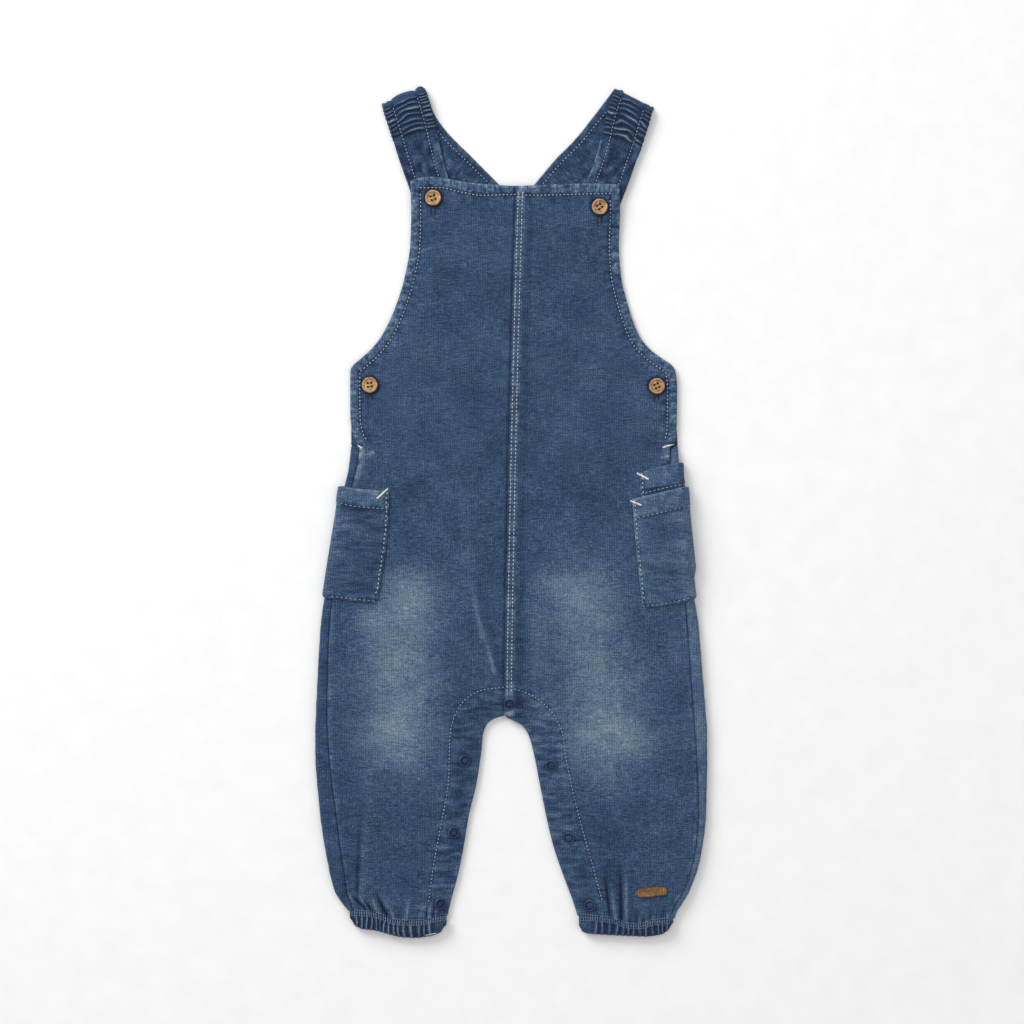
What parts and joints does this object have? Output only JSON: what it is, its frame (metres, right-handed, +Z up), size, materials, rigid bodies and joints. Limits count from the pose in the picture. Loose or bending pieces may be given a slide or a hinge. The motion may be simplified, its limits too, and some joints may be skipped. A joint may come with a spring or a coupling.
{
  "type": "baby bib dungarees laid flat",
  "caption": "Baby bib dungarees in denim-look jersey laid flat, with crossed straps, side pockets, gathered cuffs and a snap-closed inseam.",
  "frame": {"origin": "middle of the garment's outline, on the surface it lies on", "axes": "+Y from the cuffs to the straps, along the garment's length; +Z up, out of the front; +X to the right of someone looking down at the front"},
  "size_m": [0.2506, 0.5442, 0.011],
  "materials": {
    "denim_front": "washed mid-blue denim-look jersey with faded knees, matt",
    "denim_back": "washed mid-blue denim-look jersey, a little darker, matt",
    "denim_cuff": "denim-look jersey gathered over elastic, matt",
    "denim_strap": "doubled denim-look jersey with topstitching, matt",
    "denim_pocket": "washed denim-look jersey, lighter at the hems, matt",
    "wood": "oiled pale brown wood with dark speckles, satin",
    "snap_metal": "dark blue lacquered ring snap, satin",
    "leather": "tan leather with a bare face, satin"
  },
  "bodies": {
    "root": {"front_left": "denim_front", "front_right": "denim_front", "back_left": "denim_back", "back_right": "denim_back", "cuff_left": "denim_cuff", "cuff_right": "denim_cuff", "strap_left": "denim_strap", "strap_right": "denim_strap", "pocket_left": "denim_pocket", "pocket_right": "denim_pocket", "pocket_right_upper": "denim_pocket", "button_bib_left": "wood", "button_bib_right": "wood", "button_side_left": "wood", "button_side_right": "wood", "snap_crotch": "snap_metal", "snap_left_upper": "snap_metal", "snap_left_middle": "snap_metal", "snap_left_lower": "snap_metal", "snap_right_upper": "snap_metal", "snap_right_middle": "snap_metal", "snap_right_lower": "snap_metal", "leather_tag": "leather"}
  },
  "joints": []
}
